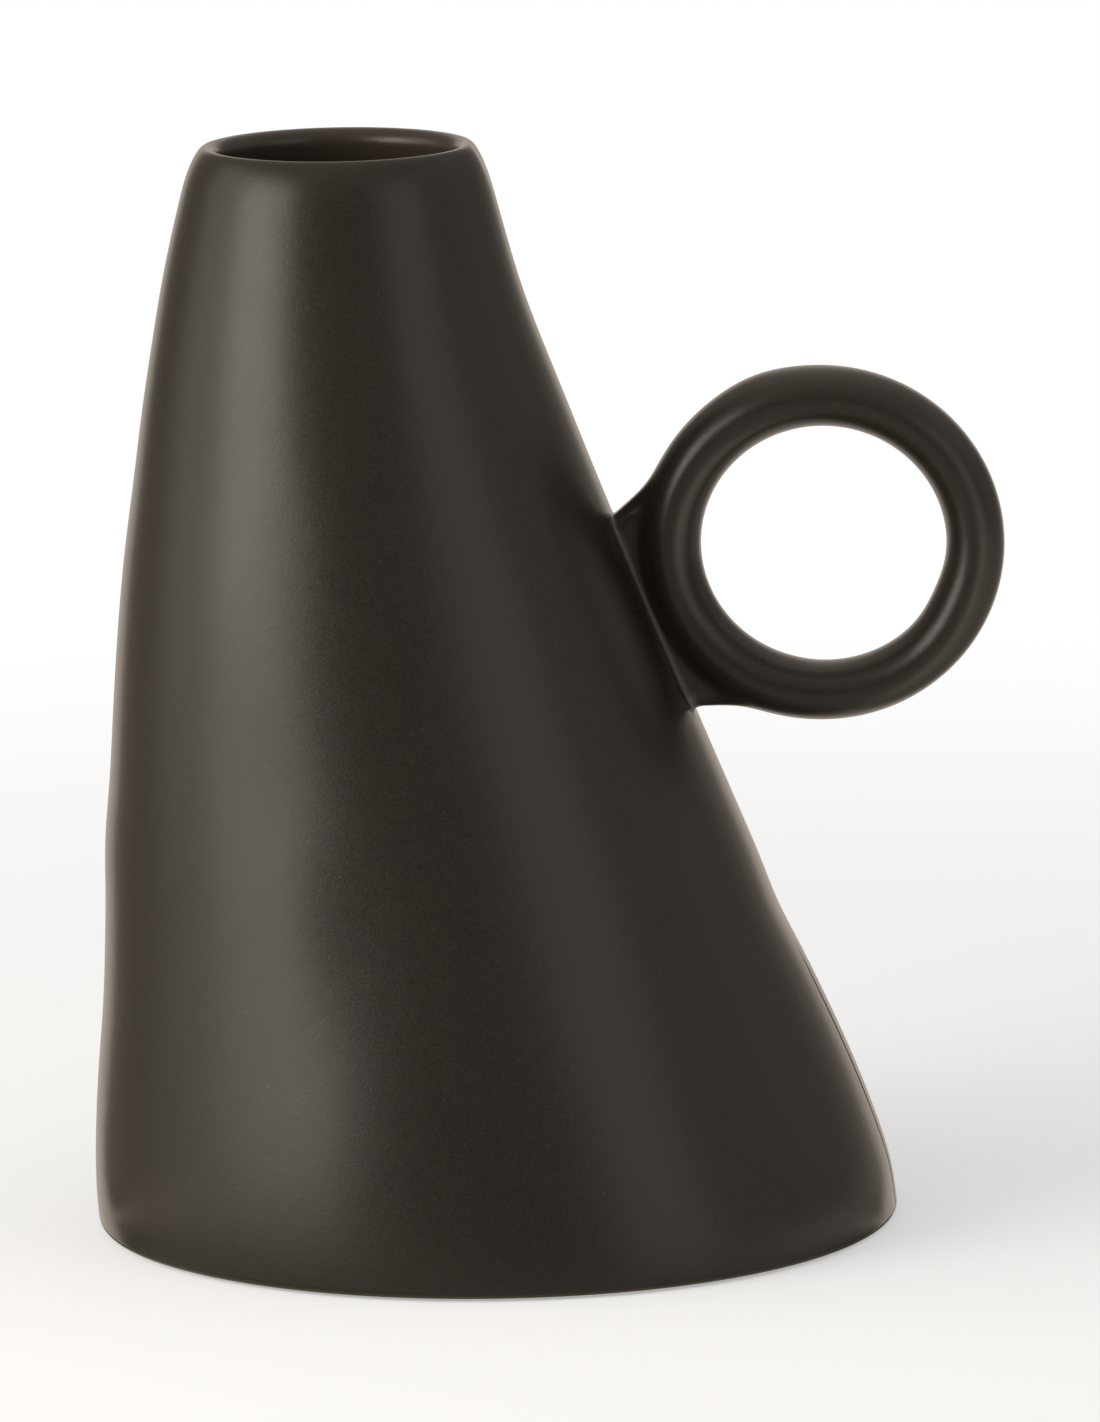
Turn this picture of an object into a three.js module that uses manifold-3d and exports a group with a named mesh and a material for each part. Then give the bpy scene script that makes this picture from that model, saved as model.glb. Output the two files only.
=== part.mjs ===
// A leaning bud vase with a closed ring handle, as the clay members that it is put together from.
// Millimetres, +Z up. The vase leans away from the handle, which stands out towards +X.
import * as THREE from "three";
import { mergeVertices } from "three/addons/utils/BufferGeometryUtils.js";
import Module from "manifold-3d";

const wasm = await Module();
wasm.setup();

// Sizes of the body: level sections are circles, and their centres drift towards -X with height.
const height = 150; // resting plane to the crest of the lip
const footRadius = 55.85; // outside, just above the resting plane
const neckRadius = 20.1; // outside, where the straight taper would reach the top
const footEase = 8.2; // height over which the wall turns from upright to its taper
const wall = 4; // level thickness of the wall
const lean = 20; // how far the mouth's centre lies behind the foot's centre
const leanStart = 0.15; // drift per millimetre of height at the foot
const leanEnd = 0.01; // drift back per millimetre of height at the mouth
const swell = 0.34; // slow waviness of the hand-worked wall, to each side
const swellPitch = 117;
const swellStart = 58.6; // height where one outward swell begins

// Sizes of the lip, a thicker coil that finishes the mouth.
const lipDepth = 10; // crest down to the joint between lip and wall
const lipThickness = 3.8; // mouth's edge to the wall's taper line, at the top
const lipOuterDrop = 6; // height of the rounding outside the crest
const lipInnerDrop = 2.5; // height of the rounding inside the crest
const lipInnerRound = 1.7; // level width of the rounding inside the crest

// Sizes of the foot ring and floor.
const hem = 0.4; // height of the wall's bottom edge, which hangs outside the bare foot ring
const hemRound = 1.2; // rounding of the wall's outer bottom edge
const wallSeat = 7; // height where the inner half of the wall stands on the foot ring
const soleRound = 0.6; // softened edges of the foot ring's sole
const ledgeWidth = 5; // how far the foot ring reaches in under the floor
const ledgeTop = 2; // thickness of that ledge, and so the hollow under the floor
const floorThickness = 4.5;
const cornerCoil = 5; // leg of the coil pressed into the inside corner

// Joints: members meet at stepped edges, and a thin layer of slip fills the gap between them.
const tongue = 2; // height of the wall's step that locates the lip
const slipGap = 0.3;

// Sizes of the handle.
const ringThickness = 8.1; // of the bar, seen from the side
const ringDepth = 12; // of the bar, along Y: its section is an oval
const fingerWidth = 33.8; // clear width of the hole
const fingerHeight = 32.6;
const ringRise = 94.2; // height of the ring's centre
const ringStandOff = 2.25; // wall to the ring's outer edge, at the height of its centre
const webAbove = 4.5; // web's top edge on the wall, above the ring's centre
const webBelow = 22.6; // web's lower edge on the wall, below the ring's centre
const webTopAngle = 149; // where the web's top edge runs into the ring, in degrees about its centre
const webLowAngle = 258;
const webRootWidth = 10; // across the web where it meets the wall
const webNeckWidth = 6.4; // across the web where it meets the ring
const webSink = 1.65; // how far the web's end lies inside the ring's outer edge
const webFullness = 3; // power of the web's oval section: 2 is an ellipse, more is fuller
const strapThickness = 1.4; // clay left between wall and ring where they come closest
const beadReach = 1.3; // slip bead along the wall
const beadRise = 1.2; // slip bead up the web
const beadHollow = 0.4; // how hollow the bead's face is: 0 is flat, 1 reaches into the corner

// Steps of the round and long shapes.
const roundSteps = 48;
const wallSteps = 14;
const lipSteps = 5;
const hemSteps = 3;
const tubeSteps = 16;
const beadSteps = 40;
const webSteps = 28;
const webSpans = 4; // from the wall to the ring

const taper = (footRadius - neckRadius) / (height - footEase);
const lipSeat = height - lipDepth;

// Outer radius of the vase at a height.
function outerRadius(z) {
  const eased = taper * footEase * (1 - Math.exp(-z / footEase));
  const wave = swell * Math.sin((2 * Math.PI * (z - swellStart)) / swellPitch);
  const settled = Math.min(1, z / swellStart);
  return footRadius - taper * z + eased + wave * settled;
}

function innerRadius(z) {
  return outerRadius(z) - wall;
}

// Middle of the wall's thickness, where the stepped joints divide it.
function middleRadius(z) {
  return outerRadius(z) - wall / 2;
}

// X of the centre of the level section at a height: one smooth S from foot to mouth.
function leanAt(z) {
  const t = z / height;
  const start = t * (1 - t) ** 2 * leanStart * height;
  const end = t ** 2 * (1 - t) * leanEnd * height;
  return -start - end - lean * t ** 2 * (3 - 2 * t);
}

// The point of the wall's outside on the handle's side, a little proud of it where asked.
function onWall(y, z, proud = 0) {
  const x = leanAt(z) + Math.sqrt((outerRadius(z) + proud) ** 2 - y ** 2);
  return new THREE.Vector3(x, y, z);
}

// Points [radius, height] along the outside or inside, both ends included.
function along(radiusAt, from, to, steps) {
  const points = [];
  for (let i = 0; i <= steps; i++) {
    const z = from + ((to - from) * i) / steps;
    points.push([radiusAt(z), z]);
  }
  return points;
}

// Points of a quarter of an ellipse, turning from the first corner to the second.
function quarter(from, to, risesFirst, steps) {
  const points = [];
  for (let i = 1; i < steps; i++) {
    const angle = (i / steps) * (Math.PI / 2);
    const early = Math.sin(angle);
    const late = 1 - Math.cos(angle);
    const across = risesFirst ? late : early;
    const up = risesFirst ? early : late;
    points.push([from[0] + (to[0] - from[0]) * across, from[1] + (to[1] - from[1]) * up]);
  }
  return points;
}

// A solid of revolution from a closed outline of [radius, height] points, leaned with the vase.
function turned(outline) {
  const onAxis = outline[0][0] === 0;
  const ring = onAxis ? outline : [...outline, outline[0]];
  const points = ring.map(([radius, z]) => new THREE.Vector2(radius, z));
  const geometry = new THREE.LatheGeometry(points, roundSteps);
  geometry.rotateX(Math.PI / 2);
  const place = geometry.getAttribute("position");
  for (let i = 0; i < place.count; i++) {
    place.setX(i, place.getX(i) + leanAt(place.getZ(i)));
  }
  return geometry;
}

// A body through rings of points, either joined end to end or closed by a fan at each end.
function loft(rings, joined) {
  const count = rings[0].length;
  const corners = rings.flat();
  const faces = [];
  const spans = joined ? rings.length : rings.length - 1;
  for (let i = 0; i < spans; i++) {
    const near = i * count;
    const far = ((i + 1) % rings.length) * count;
    for (let j = 0; j < count; j++) {
      const next = (j + 1) % count;
      faces.push(near + j, far + next, near + next);
      faces.push(near + j, far + j, far + next);
    }
  }
  if (!joined) {
    const last = corners.length - count;
    for (const [first, flip] of [[0, false], [last, true]]) {
      const ring = corners.slice(first, first + count);
      const middle = ring.reduce((sum, p) => sum.add(p), new THREE.Vector3());
      const hub = corners.push(middle.divideScalar(count)) - 1;
      for (let j = 0; j < count; j++) {
        const a = first + j;
        const b = first + ((j + 1) % count);
        faces.push(hub, flip ? b : a, flip ? a : b);
      }
    }
  }
  const geometry = new THREE.BufferGeometry().setFromPoints(corners);
  geometry.setIndex(faces);
  return geometry;
}

// The same body for cutting and joining.
function solidOf(geometry) {
  const bare = geometry.clone();
  bare.deleteAttribute("normal");
  bare.deleteAttribute("uv");
  const merged = mergeVertices(bare, 1e-3);
  const vertProperties = merged.getAttribute("position").array;
  const triVerts = new Uint32Array(merged.index.array);
  return new wasm.Manifold(new wasm.Mesh({ numProp: 3, vertProperties, triVerts }));
}

function geometryOf(body) {
  const mesh = body.getMesh();
  const geometry = new THREE.BufferGeometry();
  geometry.setAttribute("position", new THREE.BufferAttribute(mesh.vertProperties, 3));
  geometry.setIndex(new THREE.BufferAttribute(mesh.triVerts, 1));
  return geometry;
}

// The bare ring that the vase stands on, inside the wall's hem, with a ledge for the floor.
function footRing() {
  const edge = middleRadius(0) - slipGap / 2;
  const ledgeEdge = innerRadius(0) - ledgeWidth;
  return turned([
    [ledgeEdge, soleRound],
    [ledgeEdge + soleRound, 0],
    [edge - soleRound, 0],
    [edge, soleRound],
    [middleRadius(wallSeat) - slipGap / 2, wallSeat],
    ...along(innerRadius, wallSeat, ledgeTop, 2),
    [ledgeEdge, ledgeTop],
  ]);
}

const floorUnder = ledgeTop + slipGap;
const floorTop = floorUnder + floorThickness;

function floorDisc() {
  return turned([
    [0, floorUnder],
    [innerRadius(floorUnder) - slipGap, floorUnder],
    [innerRadius(floorTop) - slipGap, floorTop],
    [0, floorTop],
  ]);
}

// The coil pressed into the corner between floor and wall, hollow like a thumb's track.
function cornerCoilRing() {
  const low = floorTop + slipGap;
  const high = low + cornerCoil;
  const faceAt = (z) => innerRadius(z) - slipGap;
  const crest = [faceAt(high), high];
  const toe = [faceAt(low) - cornerCoil, low];
  return turned([toe, [faceAt(low), low], crest, ...quarter(crest, toe, true, lipSteps)]);
}

// The wall: its outer half hangs down round the foot ring, and its inner half steps up into the lip.
function bodyWall() {
  const round = hem + hemRound;
  const sole = [outerRadius(round) - hemRound, hem];
  const stepUp = wallSeat + slipGap;
  const stepDown = lipSeat + tongue;
  return turned([
    sole,
    ...quarter(sole, [outerRadius(round), round], false, hemSteps),
    ...along(outerRadius, round, wallSeat, 2),
    ...along(outerRadius, wallSeat, lipSeat, wallSteps).slice(1),
    [middleRadius(lipSeat) - slipGap / 2, lipSeat],
    [middleRadius(stepDown) - slipGap / 2, stepDown],
    ...along(innerRadius, stepDown, stepUp, wallSteps),
    [middleRadius(stepUp) + slipGap / 2, stepUp],
    [middleRadius(hem) + slipGap / 2, hem],
  ]);
}

// The thick rounded coil at the mouth.
function mouthLip() {
  const mouthRadius = neckRadius - lipThickness;
  const low = lipSeat + slipGap;
  const step = low + tongue;
  const shoulder = height - lipOuterDrop;
  const outside = [outerRadius(shoulder), shoulder];
  const crest = [mouthRadius + lipInnerRound, height];
  const inside = [mouthRadius, height - lipInnerDrop];
  const hem = [innerRadius(step), step];
  return turned([
    ...along(outerRadius, low, shoulder, 2),
    ...quarter(outside, crest, true, lipSteps),
    crest,
    ...quarter(crest, inside, false, lipSteps),
    inside,
    [(inside[0] + hem[0]) / 2, (inside[1] + hem[1]) / 2],
    hem,
    [middleRadius(step) + slipGap / 2, step],
    [middleRadius(low) + slipGap / 2, low],
  ]);
}

const ringHalfWidth = (fingerWidth + ringThickness) / 2;
const ringHalfHeight = (fingerHeight + ringThickness) / 2;
const ringOuterEdge = onWall(0, ringRise).x + ringStandOff;
const ringCentre = new THREE.Vector3(
  ringOuterEdge + ringThickness / 2 + ringHalfWidth, 0, ringRise);

// The ring's oval bar, a little fatter where asked.
function ringBar(proud) {
  const thickness = ringThickness / 2 + proud;
  const geometry = new THREE.TorusGeometry(ringHalfHeight, thickness, tubeSteps, roundSteps);
  geometry.rotateX(Math.PI / 2);
  geometry.scale(ringHalfWidth / ringHalfHeight, ringDepth / ringThickness, 1);
  geometry.translate(ringCentre.x, ringCentre.y, ringCentre.z);
  return geometry;
}

// A solid slice of the vase over the handle's height, proud of the wall, to fit the handle against.
function wallSlice(proud) {
  const low = ringRise - ringHalfHeight - ringThickness;
  const high = ringRise + ringHalfHeight + ringThickness;
  const outside = along((z) => outerRadius(z) + proud, low, high, wallSteps);
  return turned([[0, low], ...outside, [0, high]]);
}

const rootLow = ringRise - webBelow;
const rootHigh = ringRise + webAbove;

// One point of the web's outline as [across, upward], from -1 to 1: an oval with full ends.
function ovalPoint(step, steps) {
  const angle = (2 * Math.PI * step) / steps;
  const full = (value) => Math.sign(value) * Math.abs(value) ** (2 / webFullness);
  return [full(Math.sin(angle)), full(Math.cos(angle))];
}

// A point of the web's side, from the wall (reach 0) to inside the ring's bar (reach 1).
function webPoint(across, upward, reach) {
  const rise = rootLow + ((rootHigh - rootLow) * (upward + 1)) / 2;
  const root = onWall((across * webRootWidth) / 2, rise, slipGap);
  const degrees = webLowAngle + ((webTopAngle - webLowAngle) * (upward + 1)) / 2;
  const angle = THREE.MathUtils.degToRad(degrees);
  const sunk = ringThickness / 2 - webSink;
  const end = new THREE.Vector3(
    ringCentre.x + (ringHalfWidth + sunk) * Math.cos(angle),
    (across * webNeckWidth) / 2,
    ringCentre.z + (ringHalfHeight + sunk) * Math.sin(angle));
  const point = root.clone().lerp(end, reach);
  point.y = end.y + (root.y - end.y) * (1 - reach) ** 2;
  return point;
}

// The web, coped round the ring's bar, with a thin strap where the ring comes nearest the wall.
function handleWeb() {
  const rings = [];
  for (let span = 0; span <= webSpans; span++) {
    const ring = [];
    for (let i = 0; i < webSteps; i++) {
      ring.push(webPoint(...ovalPoint(i, webSteps), span / webSpans));
    }
    rings.push(ring);
  }
  const whole = solidOf(loft(rings, false));
  const coped = whole.subtract(solidOf(ringBar(slipGap)));
  const strap = whole.intersect(solidOf(wallSlice(slipGap + strapThickness)));
  return geometryOf(coped.add(strap));
}

// The ring, its flank fitted to the strap of the web.
function ringHandle() {
  const fitted = solidOf(wallSlice(strapThickness + 2 * slipGap));
  return geometryOf(solidOf(ringBar(0)).subtract(fitted));
}

// The bead of slip wiped into the corner between web and wall, all the way round.
function slipBead() {
  const halfWidth = webRootWidth / 2;
  const halfHeight = (rootHigh - rootLow) / 2;
  const slope = (value, half) => (Math.sign(value) * Math.abs(value) ** (webFullness - 1)) / half;
  const rings = [];
  for (let i = 0; i < beadSteps; i++) {
    const [across, upward] = ovalPoint(i, beadSteps);
    const away = new THREE.Vector2(slope(across, halfWidth), slope(upward, halfHeight)).normalize();
    const beside = (distance) => onWall(
      across * halfWidth + away.x * distance,
      rootLow + halfHeight * (upward + 1) + away.y * distance,
      slipGap);
    const corner = beside(slipGap);
    const toe = beside(slipGap + beadReach);
    const side = webPoint(across, upward, 1 / webSpans).sub(webPoint(across, upward, 0));
    const crest = corner.clone().addScaledVector(side.normalize(), beadRise);
    const hollow = crest.clone().lerp(toe, 0.5).lerp(corner, beadHollow);
    rings.push([corner, crest, hollow, toe]);
  }
  return loft(rings, true);
}

const glaze = { color: 0x37322b, roughness: 0.45, metalness: 0 };
const bareClay = { color: 0x6b6258, roughness: 0.9, metalness: 0 };

const members = [
  ["foot_ring", footRing(), bareClay],
  ["floor_disc", floorDisc(), glaze],
  ["corner_coil", cornerCoilRing(), glaze],
  ["body_wall", bodyWall(), glaze],
  ["mouth_lip", mouthLip(), glaze],
  ["ring_handle", ringHandle(), glaze],
  ["handle_web", handleWeb(), glaze],
  ["handle_slip_bead", slipBead(), glaze],
];

const vase = new THREE.Group();
for (const [name, geometry, finish] of members) {
  const mesh = new THREE.Mesh(geometry, new THREE.MeshStandardMaterial(finish));
  mesh.name = name;
  vase.add(mesh);
}

// The origin is the middle of the whole object's length, on the resting plane.
const middle = new THREE.Box3().setFromObject(vase).getCenter(new THREE.Vector3());
vase.position.x = -middle.x;
const part = new THREE.Group();
part.add(vase);

export default part;
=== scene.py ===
"""A leaning bud vase with a ring handle, in dark satin glaze. Metres, +Z up, handle towards +X."""
import logging
import math
from collections.abc import Callable
from dataclasses import dataclass
from enum import Enum

import bmesh
import bpy
import numpy as np
from bmesh.types import BMesh
from bpy.types import ID, Material, Mesh, Node, NodeSocket, NodeTree, Object
from mathutils import Matrix, Vector


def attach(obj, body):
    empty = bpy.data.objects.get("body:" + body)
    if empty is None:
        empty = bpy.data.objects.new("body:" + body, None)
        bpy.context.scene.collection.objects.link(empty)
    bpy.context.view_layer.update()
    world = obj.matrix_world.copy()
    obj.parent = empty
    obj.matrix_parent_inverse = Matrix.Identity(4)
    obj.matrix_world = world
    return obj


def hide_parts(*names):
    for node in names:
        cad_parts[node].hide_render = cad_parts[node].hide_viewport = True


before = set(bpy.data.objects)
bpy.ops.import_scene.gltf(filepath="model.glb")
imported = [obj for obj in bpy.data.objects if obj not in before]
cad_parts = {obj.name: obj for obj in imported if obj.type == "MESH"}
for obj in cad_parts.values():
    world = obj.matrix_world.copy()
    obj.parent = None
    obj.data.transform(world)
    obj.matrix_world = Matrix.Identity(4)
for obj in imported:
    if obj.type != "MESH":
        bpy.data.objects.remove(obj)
log = logging.getLogger("bud_vase")

MM = 0.001
WELD = 0.0001 * MM
TINY = 1e-6
WHITE = (1.0, 1.0, 1.0)
INSIDE = "inside"
# Name of the band along the handle's crease that carries a painted highlight.
CREASE_HIGHLIGHT = "crease_highlight_mask"
BODY = "root"

Point = tuple[float, float]
Span = tuple[float, float]
Colour = tuple[float, float, float]
Stops = tuple[tuple[float, float], ...]


class Slot(Enum):
    """The record's material slots."""

    GLAZE = "glaze"
    BARE_CLAY = "bare_clay"


# Helpers for meshes


def smooth_union(first: np.ndarray, second: np.ndarray, blend: np.ndarray | float) -> np.ndarray:
    """Joins two distances from surfaces with a soft fillet that reaches as far as the blend."""
    near = np.maximum(blend - np.abs(first - second), 0.0) / blend
    return np.minimum(first, second) - near**3 * blend / 6


def turned_from(turn: np.ndarray, middle: float) -> np.ndarray:
    """How far an angle lies from another, in degrees from -180 to 180."""
    return (turn - middle + 180) % 360 - 180


def polyline(bm: BMesh, points: list[Point], closed: bool) -> None:
    """Lays a wire through [across, height] points in the XZ plane.

    Args:
        bm: the mesh to add to.
        points: the wire's points in order.
        closed: whether the last point joins the first.
    """
    verts = [bm.verts.new((across, 0.0, height)) for across, height in points]
    for near, far in zip(verts, verts[1:]):
        bm.edges.new((near, far))
    if closed:
        bm.edges.new((verts[-1], verts[0]))


def divide_long_edges(bm: BMesh, longest: float) -> None:
    """Cuts every edge that is longer than a length into even pieces.

    Args:
        bm: the mesh to cut.
        longest: the greatest length that an edge keeps.
    """
    for edge in list(bm.edges):
        cuts = math.ceil(edge.calc_length() / longest) - 1
        if cuts > 0:
            bmesh.ops.subdivide_edges(bm, edges=[edge], cuts=cuts)


def spin_full(bm: BMesh, axis: tuple[float, float, float], steps: int) -> None:
    """Turns the whole mesh once round an axis through the origin and closes it.

    Args:
        bm: the mesh, still a wire.
        axis: the axis's direction.
        steps: how many steps the turn takes.
    """
    bmesh.ops.spin(
        bm, geom=bm.verts[:] + bm.edges[:], cent=(0, 0, 0), axis=axis,
        angle=2 * math.pi, steps=steps, use_merge=True, use_duplicate=False,
    )
    bmesh.ops.remove_doubles(bm, verts=bm.verts[:], dist=WELD)
    bmesh.ops.recalc_face_normals(bm, faces=bm.faces[:])


def quarter_round(start: Point, end: Point, rises_first: bool, steps: int) -> list[Point]:
    """Rounds a corner with a quarter of an ellipse, both ends left out.

    Args:
        start: where the rounding begins.
        end: where it ends.
        rises_first: whether it sets out upright rather than level.
        steps: how many steps it takes.

    Returns:
        The points between the two ends.
    """
    points = []
    for step in range(1, steps):
        angle = step / steps * math.pi / 2
        early, late = math.sin(angle), 1 - math.cos(angle)
        across, up = (late, early) if rises_first else (early, late)
        points.append((start[0] + (end[0] - start[0]) * across,
                       start[1] + (end[1] - start[1]) * up))
    return points


def mesh_from(bm: BMesh) -> Mesh:
    """Writes a bmesh out as a mesh and frees it.

    Args:
        bm: the bmesh.

    Returns:
        The mesh.
    """
    mesh = bpy.data.meshes.new("shape")
    bm.to_mesh(mesh)
    bm.free()
    return mesh


def points_of(mesh: Mesh) -> np.ndarray:
    """Reads a mesh's points.

    Args:
        mesh: the mesh.

    Returns:
        The points as rows of x, y, z.
    """
    flat = np.empty(len(mesh.vertices) * 3)
    mesh.vertices.foreach_get("co", flat)
    return flat.reshape(-1, 3)


def set_points(mesh: Mesh, points: np.ndarray) -> None:
    """Moves the mesh's points to the given rows."""
    mesh.vertices.foreach_set("co", points.ravel())
    mesh.update()


def set_mask(mesh: Mesh, name: str, values: np.ndarray) -> None:
    """Stores one value per point under a name that a finish can read."""
    mask = mesh.attributes.new(name, "FLOAT", "POINT")
    mask.data.foreach_set("value", values.astype(np.float32))


def add_object(name: str, data: ID) -> Object:
    """Puts a mesh, a lamp or a camera in the scene.

    Args:
        name: the object's name.
        data: what it shows.

    Returns:
        The object.
    """
    added = bpy.data.objects.new(name, data)
    bpy.context.scene.collection.objects.link(added)
    return added


def finish_piece(name: str, mesh: Mesh, material: Material, slot: Slot, *nodes: str) -> None:
    """Makes a finished mesh a piece of the vase.

    Args:
        name: the piece's name.
        mesh: its mesh, placed where it belongs.
        material: its finish.
        slot: the record's slot for that finish, not used.
        nodes: the solids that the piece stands for.
    """
    mesh.name = name
    mesh.materials.clear()
    mesh.materials.append(material)
    mesh.shade_smooth()
    piece = add_object(name, mesh)
    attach(piece, BODY)
    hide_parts(*nodes)
    log.info("%s: %d faces, stands for %s", name, len(mesh.polygons), ", ".join(nodes))


# Form of the vase


@dataclass(frozen=True)
class HandMark:
    """A soft swelling or hollow left in the wall by the maker's hand."""

    bearing: float
    height: float
    push: float
    sweep: float
    reach: float

    def push_at(self, bearing: np.ndarray, height: np.ndarray) -> np.ndarray:
        """How far the mark moves the wall outwards.

        Args:
            bearing: direction round the body in degrees, 0 at the handle and -90 at the front.
            height: height above the resting plane.

        Returns:
            The move, negative in a hollow.
        """
        across = turned_from(bearing, self.bearing) / self.sweep
        along = (height - self.height) / self.reach
        return self.push * np.exp(-(across * across + along * along) / 2)


# Each row gives a mark's bearing, height, push, sweep and reach, in degrees and millimetres.
HAND_MARKS = tuple(
    HandMark(bearing, height * MM, push * MM, sweep, reach * MM)
    for bearing, height, push, sweep, reach in (
        (178.0, 134, 0.28, 24.0, 8),
        (184.0, 104, -0.18, 22.0, 6),
        (180.0, 54, 0.42, 17.0, 5),
        (176.0, 32, -0.28, 18.0, 6),
        (2.0, 149, -0.35, 4.0, 2.5),
        (4.0, 129, -0.38, 22.0, 7),
        (8.0, 43, -0.40, 14.0, 4),
        (6.0, 23, 0.32, 16.0, 8),
        (-12.0, 0, -0.95, 24.0, 4),
        (-91.0, 97, 0.24, 8.0, 9),
        (-96.0, 24, 0.22, 8.0, 12),
        (-112.0, 66, -0.26, 8.0, 7),
        (-124.0, 92, 0.24, 10.0, 9),
        (-98.0, 47, -0.46, 8.0, 9),
        (-108.0, 16, 0.30, 10.0, 9),
        (-140.0, 112, -0.20, 10.0, 9),
        (-72.0, 125, 0.16, 9.0, 7),
        (-66.0, 84, -0.20, 9.0, 10),
        (-62.0, 20, 0.26, 9.0, 9),
        (-48.0, 52, 0.22, 9.0, 8),
        (60.0, 70, 0.26, 13.0, 9),
        (104.0, 38, -0.30, 12.0, 10),
        (128.0, 98, 0.24, 12.0, 9),
    ))


@dataclass(frozen=True)
class BodyForm:
    """The leaning wall: level sections are circles whose centres drift away from the handle."""

    height: float = 150 * MM
    foot_radius: float = 55.79 * MM
    neck_radius: float = 20.1 * MM
    foot_ease: float = 8.2 * MM
    wall: float = 4 * MM
    wall_seat: float = 7 * MM
    slip_gap: float = 0.3 * MM
    lean: float = 20 * MM
    lean_start: float = 0.15
    lean_end: float = 0.01
    swell: float = 0.34 * MM
    swell_pitch: float = 117 * MM
    swell_start: float = 58.6 * MM
    foot_x: float = -7.2925 * MM
    marks: tuple[HandMark, ...] = HAND_MARKS

    @property
    def taper(self) -> float:
        """How much the radius shrinks per metre of height."""
        return (self.foot_radius - self.neck_radius) / (self.height - self.foot_ease)

    def outer_radius(self, z: np.ndarray) -> np.ndarray:
        """Outer radius of the level section at a height, before hand marks.

        Args:
            z: height above the resting plane.

        Returns:
            The radius.
        """
        eased = self.taper * self.foot_ease * (1 - np.exp(-z / self.foot_ease))
        wave = self.swell * np.sin(2 * np.pi * (z - self.swell_start) / self.swell_pitch)
        settled = np.minimum(1.0, z / self.swell_start)
        return self.foot_radius - self.taper * z + eased + wave * settled

    def radius(self, z: float, depth: float = 0.0) -> float:
        """Radius at one height and a depth from the outer face."""
        return float(self.outer_radius(np.float64(z))) - depth

    def centre_x(self, z: np.ndarray) -> np.ndarray:
        """X of the level section's centre at a height.

        Args:
            z: height above the resting plane.

        Returns:
            The place.
        """
        t = z / self.height
        start = t * (1 - t) ** 2 * self.lean_start * self.height
        end = t**2 * (1 - t) * self.lean_end * self.height
        return self.foot_x - start - end - self.lean * t**2 * (3 - 2 * t)

    def mark_at(self, bearing: np.ndarray, z: np.ndarray) -> np.ndarray:
        """Outward move that all the hand marks give at a bearing in degrees and a height."""
        return sum((mark.push_at(bearing, z) for mark in self.marks), np.zeros_like(z))

    def distance(self, points: np.ndarray) -> np.ndarray:
        """Distance outwards from the wall's outside.

        Args:
            points: places as rows of x, y, z.

        Returns:
            The distance of each, negative inside.
        """
        x = points[:, 0] - self.centre_x(points[:, 2])
        y, z = points[:, 1], points[:, 2]
        bearing = np.degrees(np.arctan2(y, x))
        level = np.hypot(x, y) - self.outer_radius(z) - self.mark_at(bearing, z)
        return level * math.cos(math.atan(self.taper))


@dataclass
class GlazedBody:
    """The body's glazed skin: wall, thick rounded lip and inside, closed over the foot joint."""

    form: BodyForm
    hem: float = 0.4 * MM
    hem_round: float = 0.7 * MM
    hem_rise: float = 1.1 * MM
    hem_steps: int = 10
    lip_outer_drop: float = 6 * MM
    lip_outer_steps: int = 12
    lip_inner_drop: float = 2.5 * MM
    lip_inner_round: float = 1.9 * MM
    lip_inner_steps: int = 8
    lip_thickness: float = 3.8 * MM
    lip_depth: float = 10 * MM
    step: float = 1.75 * MM
    turns: int = 480

    def outline(self) -> list[Point]:
        """Corners and roundings of the skin's section, as [depth from the outer face, height].

        Returns:
            The closed outline, from the hem up the outside and down the inside.
        """
        form = self.form
        shoulder = (0.0, form.height - self.lip_outer_drop)
        mouth = form.neck_radius - self.lip_thickness
        crest = (self.depth_of(mouth + self.lip_inner_round, form.height), form.height)
        throat_z = form.height - self.lip_inner_drop
        throat = (self.depth_of(mouth, throat_z), throat_z)
        seam = -(form.wall - form.slip_gap) / 2
        seat = form.wall_seat + form.slip_gap
        hem_out = (0.0, self.hem + self.hem_rise)
        sole = (-self.hem_round, self.hem)
        return [
            sole,
            *quarter_round(sole, hem_out, False, self.hem_steps),
            hem_out,
            shoulder,
            *quarter_round(shoulder, crest, True, self.lip_outer_steps),
            crest,
            *quarter_round(crest, throat, False, self.lip_inner_steps),
            throat,
            (-form.wall, form.height - self.lip_depth),
            (-form.wall, seat),
            (seam, seat),
            (seam, self.hem),
        ]

    def depth_of(self, radius: float, z: float) -> float:
        """Depth from the outer face of a point at a radius and height."""
        return radius - self.form.radius(z)

    def build(self) -> Mesh:
        """Turns the section, leans it and presses the hand marks in.

        Returns:
            The skin's mesh.
        """
        bm = bmesh.new()
        polyline(bm, self.outline(), closed=True)
        divide_long_edges(bm, self.step)
        for vert in bm.verts:
            vert.co.x += self.form.radius(vert.co.z)
        spin_full(bm, (0, 0, 1), self.turns)
        mesh = mesh_from(bm)
        self.lean_and_mark(mesh)
        return mesh

    def lean_and_mark(self, mesh: Mesh) -> None:
        """Moves each point with the lean, and those of the outside with the hand marks.

        Args:
            mesh: the upright skin, about the Z axis.
        """
        points = points_of(mesh)
        z = points[:, 2].copy()
        radius = np.hypot(points[:, 0], points[:, 1])
        bearing = np.degrees(np.arctan2(points[:, 1], points[:, 0]))
        depth = self.form.outer_radius(z) - radius
        share = np.clip(1 - depth / self.form.wall, 0, 1)
        scale = 1 + self.form.mark_at(bearing, z) * share / radius
        points[:, 0] = points[:, 0] * scale + self.form.centre_x(z)
        points[:, 1] *= scale
        set_points(mesh, points)
        # The glaze paints the inside face lighter by this mask: painted light in the mouth.
        set_mask(mesh, INSIDE, (1 - share) ** 2)


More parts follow.
